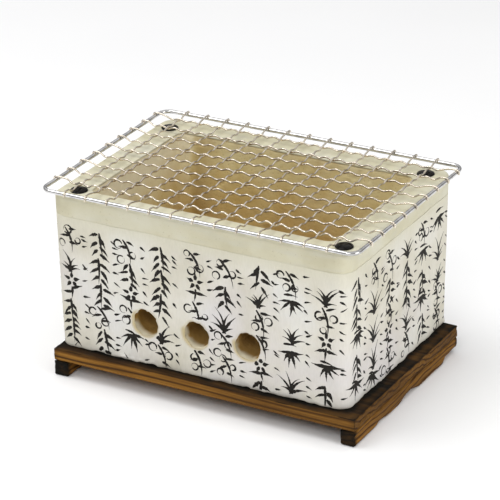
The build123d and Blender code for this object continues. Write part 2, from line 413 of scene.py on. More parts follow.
def diatomite_material():
    shader = Shader("diatomite", Specular_IOR_Level=0.08)
    patches = shader.cloud(38, 5)
    grains = shader.cloud(1100, 6)
    base = shader.tints(patches, (206, 184, 124), (219, 203, 150), (226, 213, 168))
    cells = shader.node("ShaderNodeTexVoronoi", Vector=shader.place, Scale=420.0)
    pores = cells.outputs["Distance"]
    base = shader.mix(shader.between(pores, 0.24, 0.1, 0.0, 0.35), base, linear(150, 118, 62))
    # painted shade: the cavity walls turn darker and browner further down, where less light reaches
    painted_depth_shade = shader.between(shader.axis("Z"), BODY_TOP - 12 * MM, BODY_TOP - 70 * MM)
    base = shader.mix(shader.times(painted_depth_shade, 0.8), base, linear(190, 146, 68))
    stains = shader.cloud(17, 3, place=shader.stretched(1, 1, 0.5))
    base = shader.mix(shader.between(stains, 0.52, 0.66, 0.0, 0.4), base, linear(182, 142, 80))
    # a darker strip down the cavity's long walls, near their left ends
    left_wall = CAVITY_CENTRE.x - CAVITY_LENGTH / 2
    inward = shader.sums("SUBTRACT", shader.axis("X"), left_wall)
    past_start = shader.between(inward, 9 * MM, 14 * MM)
    before_end = shader.between(inward, 32 * MM, 17 * MM)
    strip = shader.times(past_start, before_end)
    base = shader.mix(shader.times(strip, 0.4), base, linear(138, 104, 48))
    # paler near the cavity's upper edge, partly coat washed over it and partly painted light;
    # further down its left wall the paler colour is painted light, as if lit from the right
    uneven = shader.between(shader.cloud(45, 3), 0.3, 0.7, 5 * MM, -5 * MM)
    further = shader.between(inward, 12 * MM, 8 * MM, 0.0, 26 * MM)
    coat_wash_and_painted_light = shader.plus(shader.axis("Z"), shader.plus(uneven, further))
    coat_wash_and_painted_light = shader.between(coat_wash_and_painted_light, BODY_TOP - 9 * MM, BODY_TOP + 16 * MM, 0.0, 0.9)
    base = shader.mix(coat_wash_and_painted_light, base, linear(236, 227, 198))
    # pale mouths of the air holes: pale crumbs, and painted light on their lower left sides
    mouth = shader.stored("mouth")
    base = shader.mix(mouth, base, linear(222, 212, 184))
    # painted shade inside the air holes, darkest on their upper right sides
    painted_hole_shade = shader.stored("painted_hole_shade")
    base = shader.mix(painted_hole_shade, base, linear(112, 78, 34))
    shader.colour(base)
    shader.roughness(grains, 0.85, 0.97)
    shader.bump(grains, 0.2 * MM, 0.7)
    shader.bump(pores, 0.5 * MM, 0.4)
    return shader.material


def wood_material(name, along):
    """Scorched and brushed softwood. along is the axis of the grain, 0 for X and 1 for Y."""
    shader = Shader(name, Specular_IOR_Level=0.12)

    def grain(share, across=1.0):
        """Coordinates in which noise is drawn out along the grain."""
        return shader.stretched(*[share if axis == along else across for axis in range(3)])

    # growth rings: nearly level sheets that lean across the grain and are warped
    warp = shader.cloud(26, 3, place=grain((0.09, 0.4)[along]))
    ring = shader.times(shader.axis("Z"), 620.0)
    ring = shader.plus(ring, shader.times(shader.axis("YX"[along]), 55.0))
    ring = shader.plus(ring, shader.times(warp, 13.0))
    wave = shader.sums("SINE", shader.times(ring, 2.4), 0.0)
    late = shader.between(wave, 0.1, 1.0)
    fine = shader.cloud(420, 5, place=grain(0.05, across=2.2))
    early = shader.ramp(
        fine,
        (0.3, linear(98, 64, 22)),
        (0.5, linear(128, 88, 34)),
        (0.72, linear(152, 108, 48)),
    )
    wood = shader.mix(shader.times(late, 0.85), early, linear(56, 33, 11))
    scorch = shader.between(shader.cloud(16, 5, place=grain(0.35)), 0.44, 0.64, 0.0, 0.5)
    wood = shader.mix(scorch, wood, linear(70, 46, 20))
    # blackening from the stored mask: charring on ends, edges and the board's top, and painted
    # contact shadow on the board against the firebox
    char_and_painted_shade = shader.stored("char_and_shade")
    patchy = shader.between(shader.cloud(60, 4), 0.3, 0.7, 0.85, 1.2)
    wood = shader.mix(shader.times(char_and_painted_shade, patchy), wood, linear(15, 12, 7))
    shader.colour(wood)
    shader.roughness(fine, 0.6, 0.85)
    shader.bump(shader.times(late, -1.0), 0.3 * MM, 0.6)  # late wood is brushed out
    shader.bump(fine, 0.2 * MM, 0.6)
    return shader.material


def net_material(name, tint, low_gloss, high_gloss):
    shader = Shader(name, Metallic=1.0)
    wear = shader.cloud(160, 4)
    fine = shader.cloud(1500, 3)
    dull = [c * 0.72 for c in tint[:3]] + [1.0]
    shader.colour(shader.ramp(wear, (0.35, dull), (0.6, tint)))
    shader.roughness(wear, low_gloss, high_gloss)
    shader.bump(fine, 0.02 * MM, 0.5)
    return shader.material


def stud_material():
    shader = Shader("black_iron", Specular_IOR_Level=0.13)
    patches = shader.cloud(500, 4)
    shader.colour(shader.ramp(patches, (0.35, linear(7, 6, 5)), (0.7, linear(20, 17, 14))))
    shader.roughness(patches, 0.2, 0.36)
    shader.bump(shader.cloud(380, 2), 0.12 * MM, 0.5)
    return shader.material


def grate_material():
    shader = Shader("grate_steel", Metallic=0.9)
    heat = shader.cloud(26, 4)
    scale = shader.cloud(480, 5)
    shader.colour(shader.tints(heat, (92, 86, 82), (120, 104, 88), (98, 96, 104)))
    shader.roughness(scale, 0.38, 0.62)
    shader.bump(scale, 0.05 * MM, 0.5)
    return shader.material


def nail_material():
    shader = Shader("nail_steel", Metallic=1.0)
    rust = shader.cloud(800, 5)
    shader.colour(shader.ramp(rust, (0.45, linear(150, 146, 140)), (0.7, linear(110, 72, 44))))
    shader.roughness(rust, 0.35, 0.7)
    shader.bump(rust, 0.04 * MM, 0.5)
    return shader.material


# ---- paper

PAPER_THICKNESS = 0.3 * MM
TUCK = 8 * MM  # how much of the paper folded under the body is made
TUCK_ROWS, FOLD_ROWS, SIDE_ROWS = 4, 7, 81


def paper_profile():
    """Rows from under the body to the paper's top edge: lift, height, outward and upward shares."""
    rows = []
    for lift in np.linspace(-TUCK, -FOOT_ROUND, TUCK_ROWS + 1)[:-1]:
        rows.append((lift, BODY_FOOT, 0.0, -1.0))
    for angle in np.radians(np.linspace(-90, 0, FOLD_ROWS)):
        out, up = math.cos(angle), math.sin(angle)
        rows.append((FOOT_ROUND * (out - 1), BODY_FOOT + FOOT_ROUND * (1 + up), out, up))
    for z in np.linspace(BODY_FOOT + FOOT_ROUND, BAND, SIDE_ROWS + 1)[1:]:
        rows.append((0.0, z, 1.0, 0.0))
    return rows


def wrinkles(ring, z, out):
    """How far each point of a row of paper stands out, in millimetres."""
    if out == 0:
        return np.full(len(ring), -0.1)
    wrinkle = 0.22 * rough(ring, 30 * MM, 11) + 0.07 * rough(ring, 7 * MM, 12)
    creases = 1 - np.abs(noise(ring, (9 * MM, 9 * MM, 26 * MM), 13)) * 4
    creased = smooth_step(noise(ring, 24 * MM, 14), 0.1, 0.6)
    wrinkle += 0.16 * np.clip(creases, 0, 1) * creased
    near_foot = 1 - smooth_step(z, BODY_FOOT + 1.5 * MM, BODY_FOOT + 11 * MM)
    crumple = 0.9 * rough(ring, (6 * MM, 6 * MM, 5 * MM), 15, 4) + 0.2
    wrinkle = wrinkle * (1 - 0.4 * near_foot) + crumple * near_foot * out
    at_foot = 1 - smooth_step(z, BODY_FOOT + 1 * MM, BODY_FOOT + 5 * MM)
    tufts = smooth_step(noise(ring, (3.2 * MM, 3.2 * MM, 2.2 * MM), 19), 0.2, 0.75)
    tufted = smooth_step(noise(ring, 26 * MM, 20), -0.25, 0.4)
    return wrinkle + 1.1 * at_foot * out * tufts * tufted


def paper_grid():
    """The paper's outer surface as rows of points, wrinkled, with its outward directions."""
    line, normals = outline(HALF_X, HALF_Y, CORNER)
    grid, ways = [], []
    for lift, z, out, up in paper_profile():
        ring = on_body(line, normals, lift, z)
        way = np.zeros_like(ring)
        way[:, :2] = normals * out
        way[:, 2] = up
        at_fold = 1 - smooth_step(z, BODY_FOOT, BODY_FOOT + 6 * MM)
        level = ring * (1, 1, 0)
        raised = at_fold * smooth_step(noise(level, 5 * MM, 18), -0.3, 0.9) * 0.9 * MM
        ring = ring + way * wrinkles(ring, z, out)[:, None] * MM
        ring[:, 2] = np.maximum(ring[:, 2] + raised, BODY_FOOT + 0.02 * MM)
        grid.append(ring)
        ways.append(way)
    grid, ways = np.array(grid), np.array(ways)
    top_wave = noise(grid[-1], 16 * MM, 16) * 0.5 + noise(grid[-1], 4 * MM, 17) * 0.15 - 0.3
    grid[-1, :, 2] += top_wave * MM
    return grid, ways


def tear_holes(grid):
    """Moves the paper over each air hole out to a torn edge: points, and the faces that stay."""
    rows, columns = grid.shape[:2]
    flat = grid.reshape(-1, 3)
    front = at_front(flat)
    gone = np.zeros(len(flat), bool)
    torn = flat.copy()
    for n, x in enumerate(HOLE_PLACES):
        across, up, away = from_hole(flat, x)
        angle = np.arctan2(up, across)
        rim = np.stack((np.cos(angle), np.sin(angle), np.full(len(flat), float(n))), axis=1)
        lopsided = 0.6 * np.cos(angle + 0.9) - 0.4 * np.cos(2 * angle - 0.4) - 0.15
        ragged = 1.1 * noise(rim, 0.6, 21) + 0.5 * noise(rim, 0.16, 22)
        edge = HOLE_RADIUS + (lopsided + ragged) * MM
        inside = front & (away < edge)
        near = front & (away < edge + 1.6 * MM) & ~inside
        gone |= inside
        scale = edge / np.maximum(away, TINY)
        torn[:, 0] = np.where(inside, x + across * scale, torn[:, 0])
        torn[:, 2] = np.where(inside, HOLE_HEIGHT + up * scale, torn[:, 2])
        dip = (0.35 + 0.35 * noise(rim, 0.3, 23)) * MM
        torn[:, 1] += np.where(inside, dip, 0) + np.where(near, 0.25 * dip, 0)
    faces = [face for face in band_faces(rows, columns) if not gone[list(face)].all()]
    return torn, faces


def torn_core(points):
    """How much of the paper's rough core shows at each point round the air holes, 0 to 1."""
    shown = np.zeros(len(points))
    for x in HOLE_PLACES:
        across, up, away = from_hole(points, x)
        low_left = (-0.6 * across - 0.8 * up) / np.maximum(away, TINY)
        frayed = smooth_step(low_left + 0.9 * noise(points, 5 * MM, 24), -0.6, 0.7)
        reach = (0.5 + 1.9 * frayed) * MM
        near = 1 - smooth_step(away - HOLE_RADIUS, 0.2 * reach, reach)
        shown = np.maximum(shown, near * (0.35 + 0.65 * frayed))
    return shown * at_front(points)


def make_paper():
    grid, ways = paper_grid()
    points, faces = tear_holes(grid)
    core = torn_core(points)
    used = sorted({n for face in faces for n in face})
    place = {old: new for new, old in enumerate(used)}
    faces = [tuple(place[n] for n in face) for face in faces]
    slot, look = "pasted_paper", paper_material()
    piece = new_piece("paper_sides", points[used], faces, "firebox", look, ["paper_wrap"])
    store(piece.data, "torn", core[used])
    thick = piece.modifiers.new("thickness", "SOLIDIFY")
    thick.thickness = PAPER_THICKNESS
    thick.offset = -1.0
    apply_modifiers(piece)
    return grid, ways


# ---- ink marks

INK_THICKNESS = 0.1 * MM
INK_LOW, INK_HIGH = BODY_FOOT + FOOT_ROUND + 0.5 * MM, BAND - 2 * MM
DAB_STEP = 0.9 * MM
LONGER, WIDER = 1.1, 1.08  # ink spreads a little past the stroke
# round a dab's section: share of its half width, and of its thickness above the paper
INK_SECTION = ((-1, 0.3), (-0.5, 1.0), (0.5, 1.0), (1, 0.3), (1, -1.0), (-1, -1.0))


class PaperMap:
    """Finds points on the paper from a distance round it and a height."""

    def __init__(self, grid, ways):
        first = TUCK_ROWS + FOLD_ROWS - 1  # the row where the paper stands upright
        self.grid, self.ways = grid[first:], ways[first:]
        middle = self.grid[len(self.grid) // 2]
        steps = np.linalg.norm(np.roll(middle, -1, axis=0) - middle, axis=1)
        self.round = np.concatenate(([0], np.cumsum(steps)))
        self.heights = self.grid[:-1, :, 2].mean(axis=1)

    def at(self, along, z, lift):
        """Points lift above the paper. along runs anticlockwise from the middle of the back."""
        columns = self.grid.shape[1]
        along = np.mod(along, self.round[-1])
        column = np.interp(along, self.round, np.arange(columns + 1))
        row = np.interp(z, self.heights, np.arange(len(self.heights)))
        c0, r0 = np.floor(column).astype(int), np.floor(row).astype(int)
        r0 = np.minimum(r0, len(self.heights) - 2)
        fc, fr = (column - c0)[:, None], (row - r0)[:, None]
        c0, c1 = c0 % columns, (c0 + 1) % columns
        spot = np.zeros((len(column), 3))
        way = np.zeros((len(column), 3))
        for r, share_r in ((r0, 1 - fr), (r0 + 1, fr)):
            for c, share_c in ((c0, 1 - fc), (c1, fc)):
                spot += self.grid[r, c] * share_r * share_c
                way += self.ways[r, c] * share_r * share_c
        return spot + way * np.asarray(lift).reshape(-1, 1)


def brush_dab(start, heading, length, width, bend):
    """Centre line and half widths of one tapering brush dab, in the paper's plane."""
    steps = max(5, int(length / DAB_STEP))
    share = np.linspace(0, 1, steps + 1)
    angle = heading + bend * (share - 0.3)
    line = np.zeros((steps + 1, 2))
    stride = length / steps
    line[1:, 0] = np.cumsum(np.cos(angle[:-1]) * stride)
    line[1:, 1] = np.cumsum(np.sin(angle[:-1]) * stride)
    swell = 0.45 + 0.55 * np.sin(math.pi * np.minimum(share * 1.25, 1) ** 0.8)
    pressure = swell * (1 - share**3) ** 0.7
    return line + start, 0.5 * width * np.maximum(pressure, 0.08)


class InkSheet:
    """Collects brush dabs as thin closed ribbons on the paper."""

    def __init__(self, paper, generator):
        self.paper, self.random = paper, generator
        self.points, self.faces = [], []

    def on_paper(self, line):
        """Which points of a dab's centre line are on paper, clear of the edges and the holes."""
        inside = (line[:, 1] > INK_LOW) & (line[:, 1] < INK_HIGH)
        spots = self.paper.at(line[:, 0], line[:, 1], np.zeros(len(line)))
        for x in HOLE_PLACES:
            away = from_hole(spots, x)[2]
            inside &= ~(at_front(spots) & (away < HOLE_RADIUS + 1.7 * MM))
        return inside

    def add(self, start, heading, length, width, bend):
        """One dab. It ends where it would leave the paper."""
        line, half = brush_dab(np.array(start), heading, LONGER * length, WIDER * width, bend)
        uneven = 1 + 0.14 * self.random.standard_normal(len(half))
        half = half * np.clip(uneven, 0.75, 1.3)
        kept = self.on_paper(line)
        if kept[0] and not kept.all():
            kept[np.argmin(kept):] = False
        if kept.sum() < 4:
            return
        line, half = line[kept], half[kept]
        way = np.gradient(line, axis=0)
        way /= np.linalg.norm(way, axis=1)[:, None]
        across = np.stack((-way[:, 1], way[:, 0]), axis=1)
        rings = []
        for side, lift in INK_SECTION:
            spots = line + across * (half * side)[:, None]
            rise = np.full(len(line), lift * INK_THICKNESS)
            rings.append(self.paper.at(spots[:, 0], spots[:, 1], rise))
        first, count = len(self.points), len(line)
        self.points.extend(np.concatenate(rings))
        starts = [first + r * count for r in range(len(rings))]
        for low, high in zip(starts, starts[1:] + starts[:1]):
            for n in range(count - 1):
                self.faces.append((low + n, high + n, high + n + 1, low + n + 1))
        self.faces.append(tuple(starts))
        self.faces.append(tuple(start + count - 1 for start in reversed(starts)))


DOWN = -math.pi / 2


def leaf(sheet, root, side, slope, length, width):
    """One leaf that springs from root to the left (-1) or right (+1). slope is upwards."""
    heading = slope if side > 0 else math.pi - slope
    sheet.add(root, heading, length, width, -side * sheet.random.uniform(0.1, 0.7))


def bamboo(sheet, x, z, cell):
    """An upright cane with leaves hanging from its joints."""
    draw = sheet.random.uniform
    top = (x + draw(-1, 1) * MM, z)
    sheet.add(top, DOWN + draw(-0.2, 0.2), cell, 1.9 * MM, draw(-0.4, 0.4))
    for n in range(6):
        side = 1 if n % 2 else -1
        aside = side * draw(0.2, 1.0) * MM
        root = (x + aside, z - (0.08 + 0.16 * n + draw(-0.04, 0.04)) * cell)
        leaf(sheet, root, side, draw(-1.0, -0.25), draw(6.2, 9.0) * MM, draw(1.9, 2.7) * MM)


def fan(sheet, x, z, cell):
    """Leaves spread downwards from one joint."""
    draw = sheet.random.uniform
    root_z = z - draw(0.12, 0.26) * cell
    for slope in (-0.15, -0.65, -1.15, -1.7, -2.3, -2.9):
        heading = slope + draw(-0.15, 0.15)
        sheet.add((x, root_z), heading, draw(8.0, 11.5) * MM, draw(1.8, 2.6) * MM, draw(-0.7, 0.7))
    sheet.add((x - 5 * MM, z), draw(-0.3, 0.1), draw(8, 11) * MM, 1.7 * MM, -0.5)


def reed(sheet, x, z, cell):
    """A tuft of grass: blades that fan upwards from one root and droop."""
    draw = sheet.random.uniform
    root_z = z - 0.95 * cell
    for slope in (-1.05, -0.6, -0.2, 0.15, 0.55, 1.0):
        length = draw(0.6, 1.1) * cell * (1 - 0.3 * abs(slope))
        heading = math.pi / 2 + slope + draw(-0.1, 0.1)
        bend = (1.1 if slope > 0 else -1.1) * draw(0.4, 1.2)
        root = (x + slope * 1.2 * MM, root_z)
        sheet.add(root, heading, length, draw(1.5, 2.2) * MM, bend)


def blossom(sheet, x, z, cell):
    """Five round petals above a stalk with two leaves."""
    draw = sheet.random.uniform
    middle = z - 4.8 * MM
    for n in range(5):
        angle = math.pi / 2 + 2 * math.pi * n / 5 + draw(-0.1, 0.1)
        root = (x + 1.6 * MM * math.cos(angle), middle + 1.6 * MM * math.sin(angle))
        sheet.add(root, angle, 4.4 * MM, 2.7 * MM, draw(-0.3, 0.3))
    stalk = (x, middle - 4.8 * MM)
    sheet.add(stalk, DOWN + draw(-0.2, 0.2), cell - 9 * MM, 1.6 * MM, draw(-0.5, 0.5))
    for side in (-1, 1):
        root = (x, z - draw(0.6, 0.8) * cell)
        leaf(sheet, root, side, draw(-0.3, 0.5), draw(6.0, 8.5) * MM, 2.3 * MM)


def berries(sheet, x, z, cell):
    """Open rings on a drooping twig."""
    draw = sheet.random.uniform
    sheet.add((x - 3 * MM, z), -1.1 + draw(-0.2, 0.2), 1.1 * cell, 1.7 * MM, -0.9)
    for n in range(3):
        radius = draw(1.7, 2.6) * MM
        side = 1 if n % 2 else -1
        root = (x + side * draw(3.0, 4.6) * MM, z - (0.2 + 0.3 * n) * cell)
        sheet.add(root, draw(0, 6.3), 2 * math.pi * radius, draw(1.1, 1.5) * MM, 5.9)
        leaf(sheet, (x, root[1] + 2 * MM), -side, draw(-0.5, 0.4), draw(5.0, 7.5) * MM, 2.0 * MM)


# how often each kind comes up
SPRIGS = (bamboo, reed, berries, blossom, fan, bamboo, reed, berries)
TICK_CHANCE = 0.75


def leafy_column(sheet, along):
    """A column of sprigs from the top of the paper to its foot, with small dabs to its right."""
    draw = sheet.random.uniform
    z = BAND - (5 + draw(0, 4)) * MM
    while z > BODY_FOOT + 3 * MM:
        cell = draw(15, 19) * MM
        sprig = SPRIGS[sheet.random.integers(len(SPRIGS))]
        sprig(sheet, along + draw(-1, 1) * MM, z, cell)
        for share in (draw(0.05, 0.3), draw(0.4, 0.55), draw(0.65, 0.9)):
            if draw(0, 1) < TICK_CHANCE:
                tick = (along + draw(9.0, 10.4) * MM, z - share * cell)
                heading, length = draw(-0.9, 0.5), draw(3.4, 5.2) * MM
                sheet.add(tick, heading, length, draw(1.1, 1.6) * MM, draw(-0.6, 0.6))
        z -= cell * draw(0.97, 1.08)


def make_ink(paper):
    """Columns of brush dabs on all four sides."""
    arc = CORNER * math.pi / 2
    short, long = 2 * (HALF_Y - CORNER), 2 * (HALF_X - CORNER)
    left = long / 2 + arc
    front = left + short + arc
    right = front + long + arc
    back = right + short + arc
    # where each side's columns start, the width they share, and how many there are
    sides = {
        "ink_left": (left - 4 * MM, short + 11 * MM, 6),
        "ink_front": (front - 6 * MM, long + 17 * MM, 9),
        "ink_right": (right - 3 * MM, short + 12 * MM, 6),
        "ink_back": (back - 4 * MM, long + 13 * MM, 9),
    }
    material = ink_material()
    for seed, (name, (start, width, columns)) in enumerate(sides.items()):
        sheet = InkSheet(paper, np.random.default_rng(40 + seed))
        for n in range(columns):
            along = start + width * (n + 0.42) / columns
            leafy_column(sheet, along + sheet.random.uniform(-1.5, 1.5) * MM)
        piece = new_piece(name, sheet.points, sheet.faces, "firebox", material)
    

# ---- coat

LIP = 0.7 * MM  # rounding at the cavity's mouth
COAT_THICKNESS = 0.55 * MM
INSIDE_REACH = 1.1 * MM  # how far the coat goes down into the cavity
BEHIND_PAPER = 2 * MM  # how far it goes down behind the paper


def coat_rows():
    """Rows round the coat's closed section: side, place, height, and share of unevenness.

    The place is a distance outwards on the sides "out" and "in", and on "top" the share of
    the way from the outside to the cavity.
    """
    foot = BAND - BEHIND_PAPER
    rows = [("out", -COAT_THICKNESS, foot, 0), ("out", -0.32 * MM, foot, 0)]
    for z in np.linspace(BAND - 1 * MM, BODY_TOP - TOP_ROUND, 10):
        share = smooth_step(z, BAND - 0.8 * MM, BAND + 0.6 * MM)
        rows.append(("out", -0.3 * MM * (1 - share), z, share))
    for angle in np.radians(np.linspace(15, 90, 6)):
        lift = TOP_ROUND * (math.cos(angle) - 1)
        rows.append(("out", lift, BODY_TOP + TOP_ROUND * (math.sin(angle) - 1), 1))
    for share in np.linspace(0.05, 0.95, 14):
        rows.append(("top", share, BODY_TOP, 1))
    for angle in np.radians(np.linspace(90, 0, 5)):
        lift = LIP * (1 - math.cos(angle))
        rows.append(("in", lift, BODY_TOP + LIP * (math.sin(angle) - 1), 1))
    under_top = BODY_TOP - COAT_THICKNESS
    return rows + [
        ("in", 0.0, BODY_TOP - INSIDE_REACH, 1),
        ("in", COAT_THICKNESS, BODY_TOP - INSIDE_REACH, 0),
        ("in", LIP + COAT_THICKNESS, under_top, 0),
        ("top", 0.5, under_top, 0),
        ("out", -TOP_ROUND, under_top, 0),
        ("out", -COAT_THICKNESS, BODY_TOP - TOP_ROUND, 0),
    ]


def make_coat():
    """Closed ring of coat: up the outside from behind the paper, over the top, to the cavity."""
    outer, outer_ways = outline(HALF_X, HALF_Y, CORNER)
    inner, inner_ways = outline(CAVITY_LENGTH / 2, CAVITY_DEPTH / 2, CAVITY_CORNER)
    centre = np.array((CAVITY_CENTRE.x, CAVITY_CENTRE.y))
    rows = coat_rows()
    points = []
    for side, place, z, seen in rows:
        outside = on_body(outer, outer_ways, place if side == "out" else -TOP_ROUND, z)
        inside = np.full_like(outside, z)
        inside[:, :2] = inner + inner_ways * (place if side == "in" else LIP) + centre
        if side == "out":
            ring, way = outside, np.pad(outer_ways, ((0, 0), (0, 1)))
        elif side == "in":
            ring, way = inside, np.pad(-inner_ways, ((0, 0), (0, 1)))
        else:
            ring = outside * (1 - place) + inside * place
            way = np.tile((0.0, 0.0, 1.0), (len(outer), 1))
        uneven = 0.16 * rough(ring, 22 * MM, 31) + 0.08 * rough(ring, 4 * MM, 32) - 0.12
        if side == "in":
            uneven = uneven + 0.25 * rough(ring, 5 * MM, 33)
            ring[:, 2] += seen * (z < BODY_TOP - LIP) * 0.5 * MM * noise(ring, 7 * MM, 34)
        points.append(ring + way * (uneven * seen)[:, None] * MM)
    points = np.array(points).reshape(-1, 3)
    faces = band_faces(len(rows), len(outer), closed_up=True)
    slot, look = "cream_coat", coat_material()
    piece = new_piece("rim_coating", points, faces, "firebox", look, ["rim_coat"])


# ---- casting

VOXEL = 1.25 * MM


def casting_wear(points):
    """How far each point of the casting stands out, in millimetres."""
    push = 0.25 * rough(points, 12 * MM, 51) + 0.12 * rough(points, 3 * MM, 52) - 0.4
    pits = smooth_step(noise(points, 2.6 * MM, 53), 0.55, 0.9)
    pitted = smooth_step(noise(points, 14 * MM, 54), -0.2, 0.5)
    push = push - 0.9 * pits * pitted
    for x in HOLE_PLACES:
        away = from_hole(points, x)[2]
        mouth = (1 - smooth_step(points[:, 1], FRONT + 1 * MM, FRONT + 5 * MM)) * (away < 12 * MM)
        mouth = mouth * (1 - smooth_step(away, 9.5 * MM, 11.5 * MM))
        push = push - mouth * (0.7 + 0.8 * noise(points, 4 * MM, 55))
        bore = (away < HOLE_RADIUS) * (points[:, 1] < FRONT + 24 * MM)
        push = push + bore * 0.8 * rough(points, 5 * MM, 56)
    return push


def hole_looks(points):
    """How pale the casting is at the air holes' mouths, partly pale crumbs and partly painted light
    on their lower left sides, and how much darker further in, which is painted shade, 0 to 1.
    """
    pale, painted_shade_in_holes = np.zeros(len(points)), np.zeros(len(points))
    for x in HOLE_PLACES:
        across, up, away = from_hole(points, x)
        in_hole = (1 - smooth_step(away, 11 * MM, 13 * MM)) * (points[:, 1] < BODY_CENTRE.y)
        lit = (-0.45 * across - 0.9 * up) / np.maximum(away, TINY)
        lit = lit + 0.5 * noise(points, 3.5 * MM, 57)
        # painted light: the pale mouth reaches further in on its lower left side, which faces the
        # light
        reach = (1.0 + 7 * smooth_step(lit, 0.0, 1.1)) * MM
        shallow = 1 - smooth_step(points[:, 1] - FRONT, 0.35 * reach, reach)
        pale = np.maximum(pale, in_hole * shallow)
        # painted shade: darker inside the hole, most of all on its upper right side, away from the
        # light
        painted_shade_share = 0.35 + 0.65 * smooth_step(-lit, -0.7, 0.5)
        painted_shade_in_holes = np.maximum(painted_shade_in_holes, in_hole * painted_shade_share * (1 - pale))
    return pale, painted_shade_in_holes


def make_casting():
    """The firebox casting with soft edges, pits and crumbled air holes."""
    piece = new_object("casting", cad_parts["firebox"].data.copy())
    remesh = piece.modifiers.new("even", "REMESH")
    remesh.mode = "VOXEL"
    remesh.voxel_size = VOXEL
    apply_modifiers(piece)
    mesh = piece.data
    points, ways = vertex_array(mesh), vertex_array(mesh, "normal")
    pale, painted_shade_in_holes = hole_looks(points)
    store(mesh, "mouth", pale)
    store(mesh, "painted_hole_shade", painted_shade_in_holes)
    points = points + ways * casting_wear(points)[:, None] * MM
    mesh.vertices.foreach_set("co", points.ravel())
    mesh.update()
    mesh.polygons.foreach_set("use_smooth", [True] * len(mesh.polygons))
    mesh.materials.clear()
    mesh.materials.append(diatomite_material())
    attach(piece, "firebox")
    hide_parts("firebox")


# ---- studs

STUD_RADIUS = 6 * MM
STUB = 4 * MM  # how far a stud's neck goes down into the casting
STUD_TURNS, DOME_ROWS = 40, 12


def stud_profile(height):
    """Radii and heights above the casting's top, from the foot of the neck up the dome."""
    rows = [(1 * MM, -STUB), (1 * MM, -0.1 * MM)]
    rows += [(STUD_RADIUS * 0.94, -0.1 * MM), (STUD_RADIUS, 0.25 * MM)]
    edge = 0.3 * MM
    for angle in np.linspace(0.12, math.pi / 2, DOME_ROWS)[:-1]:
        radius = STUD_RADIUS * math.cos(angle) ** 0.9
        rows.append((radius, edge + (height - edge) * math.sin(angle)))
    return rows


def stud_seats():
    """Centres of the four CAD studs, from the middle of each quarter of their mesh."""
    points = vertex_array(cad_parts["corner_studs"].data)
    seats = []
    for quarter in itertools.product((-1, 1), repeat=2):
        mine = points[(np.sign(points[:, :2]) == quarter).all(axis=1)]
        seats.append(tuple((mine.min(axis=0) + mine.max(axis=0))[:2] / 2))
    return seats


def make_studs():
    """Four domed heads with slightly hammered tops, where the CAD studs are."""
    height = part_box("corner_studs")[1].z - BODY_TOP
    profile = stud_profile(height)
    points, faces = [], []
    for x, y in stud_seats():
        first = len(points)
        for radius, z in profile:
            for n in range(STUD_TURNS):
                angle = 2 * math.pi * n / STUD_TURNS
                spot = (x + radius * math.cos(angle), y + radius * math.sin(angle), BODY_TOP + z)
                points.append(spot)
        bottom, top = len(points), len(points) + 1
        points += [(x, y, BODY_TOP - STUB), (x, y, BODY_TOP + height)]
        for face in band_faces(len(profile), STUD_TURNS):
            faces.append(tuple(first + n for n in face))
        last = bottom - STUD_TURNS
        for n in range(STUD_TURNS):
            right = (n + 1) % STUD_TURNS
            faces.append((bottom, first + right, first + n))
            faces.append((top, last + n, last + right))
    points = np.array(points)
    head = points[:, 2] > BODY_TOP
    points[:, 2] -= head * 0.12 * MM * (1 + rough(points, 2.5 * MM, 61))
    points[:, 0] += head * 0.1 * MM * noise(points, 4 * MM, 62)
    points[:, 1] += head * 0.1 * MM * noise(points, 4 * MM, 63)
    slot, look = "black_iron", stud_material()
    piece = new_piece("stud_heads", points, faces, "firebox", look, ["corner_studs"])


# ---- wooden stand

BLOCK_STEPS = (1.5 * MM, 1.5 * MM, 0.6 * MM)
ACROSS_EDGE = (0, 0.12, 0.3, 0.55, 1.0)  # where the grid's lines lie on a rounded edge


def spaced(low, high, step, edge):
    """Places from low to high, closer together near both ends."""
    near = [low + edge * share for share in ACROSS_EDGE]
    far = [high - edge * share for share in reversed(ACROSS_EDGE)]
    count = max(2, int((high - low - 2 * edge) / step))
    middle = list(np.linspace(low + edge, high - edge, count + 1))[1:-1]
    return np.array(near + middle + far)


def block_mesh(low, high, steps, edge):
    """Surface of a box as a fine grid: points and faces."""
    axes = [spaced(low[n], high[n], steps[n], edge) for n in range(3)]
    index, points, faces = {}, [], []

    def vertex(key):
        if key not in index:
            index[key] = len(points)
            points.append([axis[n] for axis, n in zip(axes, key)])
        return index[key]

    sizes = [len(a) - 1 for a in axes]
    for fixed in range(3):
        u, v = [n for n in range(3) if n != fixed]
        for end, a, b in itertools.product((0, sizes[fixed]), range(sizes[u]), range(sizes[v])):
            corners = []
            for da, db in ((0, 0), (1, 0), (1, 1), (0, 1)):
                key = [0, 0, 0]
                key[fixed], key[u], key[v] = end, a + da, b + db
                corners.append(vertex(tuple(key)))
            faces.append(tuple(corners))
    return np.array(points), faces


def rounded(points, low, high, radius):
    """Points of a box's surface moved onto rounded edges, and their outward directions."""
    centre, half = np.array((low + high) / 2), np.array((high - low) / 2)
    core = np.clip(points - centre, radius - half, half - radius)
    way = points - centre - core
    way /= np.maximum(np.linalg.norm(way, axis=1), TINY * MM)[:, None]
    return centre + core + way * radius, way


